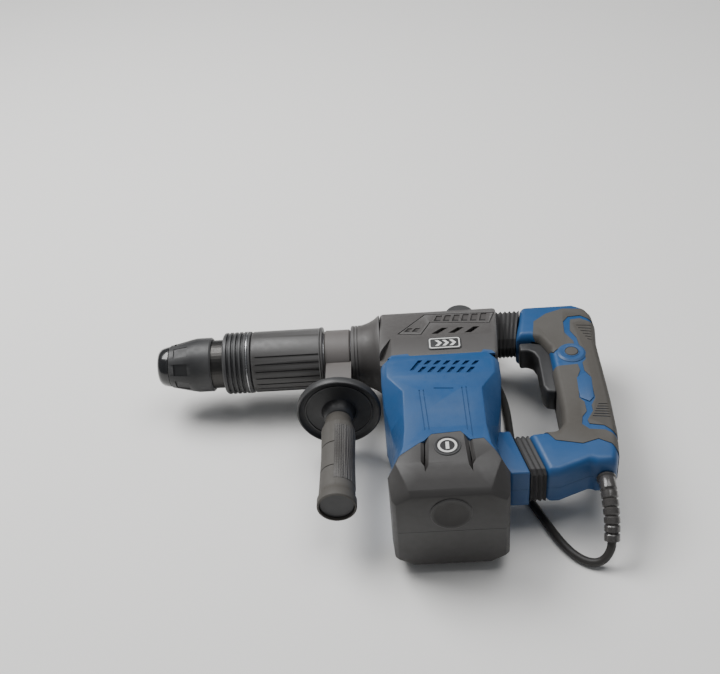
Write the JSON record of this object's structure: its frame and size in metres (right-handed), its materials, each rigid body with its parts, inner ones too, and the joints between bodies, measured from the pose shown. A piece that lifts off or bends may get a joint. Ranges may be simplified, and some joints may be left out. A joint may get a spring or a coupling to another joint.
{
  "type": "rotary hammer",
  "caption": "Corded electric demolition hammer with a barrel, twist side handle with disc guard, upright motor housing and a sprung D-shaped rear handle.",
  "frame": {"origin": "on the flat right-hand side of the motor housing that the tool lies on, under the motor axis, 150 mm below the barrel axis", "axes": "+X along the barrel from the chuck to the rear handle, +Y to the tool's top, +Z to the tool's left side, up as it lies"},
  "size_m": [0.4575, 0.3582, 0.114],
  "materials": {
    "blue_plastic": "satin moulded",
    "grey_plastic": "fine grain",
    "black_plastic": "satin",
    "gloss_rubber": "glossy",
    "soft_grip": "soft matte",
    "bellows_rubber": "matte",
    "tool_steel": "ground",
    "cast_alloy": "cast",
    "laminated_iron": "laminated",
    "copper": "turned copper",
    "carbon": "pressed carbon",
    "brass": "satin",
    "badge_plate": "plain plate"
  },
  "bodies": {
    "tool_body": {"gear_cover_left": "grey_plastic", "gear_cover_right": "grey_plastic", "badge_plate": "badge_plate", "motor_housing_left": "blue_plastic", "motor_housing_right": "blue_plastic", "motor_cap_left": "grey_plastic", "motor_cap_right": "grey_plastic", "crankcase": "cast_alloy", "hammer_cylinder": "tool_steel", "barrel_tube": "cast_alloy", "barrel_grip": "soft_grip", "front_collar": "grey_plastic", "stator_core": "laminated_iron", "bearing_plate": "cast_alloy", "upper_bearing": "tool_steel", "lower_bearing": "tool_steel", "brush_holder_a": "brass", "brush_holder_b": "brass", "carbon_brush_a": "carbon", "carbon_brush_b": "carbon", "upper_bellows": "bellows_rubber", "lower_bellows": "bellows_rubber", "upper_damper_spring": "tool_steel", "lower_damper_spring": "tool_steel"},
    "tool_holder": {"tool_holder": "tool_steel", "dust_cap": "gloss_rubber", "sleeve_spring": "tool_steel"},
    "roller_a": {"locking_roller_a": "tool_steel"},
    "roller_b": {"locking_roller_b": "tool_steel"},
    "release_sleeve": {"release_sleeve": "black_plastic"},
    "angle_ring": {"angle_ring": "black_plastic"},
    "beat_piece": {"beat_piece": "tool_steel"},
    "striker": {"striker": "tool_steel"},
    "piston": {"piston": "tool_steel", "wrist_pin": "tool_steel"},
    "connecting_rod": {"connecting_rod": "tool_steel"},
    "crank": {"crank_gear": "tool_steel", "crank_shaft": "tool_steel"},
    "armature": {"armature_shaft": "tool_steel", "armature_core": "laminated_iron", "commutator": "copper", "cooling_fan": "black_plastic"},
    "side_clamp": {"clamp_band": "grey_plastic", "disc_guard": "black_plastic"},
    "side_grip": {"side_grip": "soft_grip", "grip_end_cap": "black_plastic", "clamp_bolt": "tool_steel"},
    "speed_dial": {"speed_dial": "black_plastic"},
    "rear_handle": {"handle_shell_left": "blue_plastic", "handle_shell_right": "blue_plastic", "grip_pad_rear": "soft_grip", "grip_pad_front": "soft_grip", "trigger_switch": "black_plastic", "strain_relief": "gloss_rubber", "cord": "bellows_rubber", "cord_coil": "bellows_rubber", "plug_body": "black_plastic", "plug_pins": "brass"},
    "trigger": {"trigger": "black_plastic"},
    "lock_button": {"lock_button": "grey_plastic"}
  },
  "joints": [
    {"name": "armature_spin", "type": "hinge", "parent": "tool_body", "child": "armature", "pos_m": [0, 0, 0.057], "axis": [0, 1, 0], "continuous": true},
    {"name": "crank_spin", "type": "hinge", "parent": "tool_body", "child": "crank", "pos_m": [0.026, 0, 0.057], "axis": [0, 1, 0], "continuous": true},
    {"name": "piston_slide", "type": "slide", "parent": "tool_body", "child": "piston", "axis": [1, 0, 0], "range_m": [0, 0.024]},
    {"name": "rod_swing", "type": "hinge", "parent": "piston", "child": "connecting_rod", "pos_m": [-0.05, 0.15, 0.057], "axis": [0, 1, 0], "range_deg": [-10.8, 10.8]},
    {"name": "striker_slide", "type": "slide", "parent": "tool_body", "child": "striker", "axis": [1, 0, 0], "range_m": [0, 0.02]},
    {"name": "beat_piece_slide", "type": "slide", "parent": "tool_body", "child": "beat_piece", "axis": [1, 0, 0], "range_m": [0, 0.008]},
    {"name": "tool_holder_turn", "type": "hinge", "parent": "tool_body", "child": "tool_holder", "pos_m": [-0.25, 0.15, 0.057], "axis": [1, 0, 0], "continuous": true},
    {"name": "release_sleeve_slide", "type": "slide", "parent": "tool_holder", "child": "release_sleeve", "axis": [1, 0, 0], "range_m": [0, 0.007], "stiffness_N_per_m": 1500, "springref_m": -0.002, "deforming": ["sleeve_spring"]},
    {"name": "roller_a_slide", "type": "slide", "parent": "tool_holder", "child": "roller_a", "axis": [0, 1, 0], "range_m": [0, 0.002]},
    {"name": "roller_b_slide", "type": "slide", "parent": "tool_holder", "child": "roller_b", "axis": [0, -1, 0], "range_m": [0, 0.002]},
    {"name": "angle_ring_slide", "type": "slide", "parent": "tool_holder", "child": "angle_ring", "axis": [-1, 0, 0], "range_m": [0, 0.004], "stiffness_N_per_m": 1500, "springref_m": -0.002},
    {"name": "side_handle_swing", "type": "hinge", "parent": "tool_body", "child": "side_clamp", "pos_m": [-0.103, 0.15, 0.057], "axis": [1, 0, 0], "continuous": true},
    {"name": "side_grip_screw", "type": "hinge", "parent": "side_clamp", "child": "side_grip", "pos_m": [-0.102, 0.068, 0.057], "axis": [0, 1, 0], "range_deg": [0, 540]},
    {"name": "speed_dial_turn", "type": "hinge", "parent": "tool_body", "child": "speed_dial", "pos_m": [0.026, 0.1762, 0.083], "axis": [0, 0, 1], "range_deg": [-130, 130]},
    {"name": "handle_damping", "type": "slide", "parent": "tool_body", "child": "rear_handle", "axis": [1, 0, 0], "range_m": [-0.004, 0.002], "stiffness_N_per_m": 20000, "deforming": ["upper_bellows", "lower_bellows", "upper_damper_spring", "lower_damper_spring"]},
    {"name": "trigger_pull", "type": "hinge", "parent": "rear_handle", "child": "trigger", "pos_m": [0.088, 0.135, 0.057], "axis": [0, 0, 1], "range_deg": [0, 4.5], "stiffness_Nm_per_rad": 8, "springref_deg": -2.86},
    {"name": "lock_button_press", "type": "slide", "parent": "rear_handle", "child": "lock_button", "axis": [0, 0, -1], "range_m": [0, 0.003], "stiffness_N_per_m": 600, "springref_m": -0.002}
  ],
  "couplings": [
    {"joint": "crank_spin", "follows": "armature_spin", "ratio": -0.2093},
    {"joint": "roller_b_slide", "follows": "roller_a_slide", "ratio": 1}
  ]
}
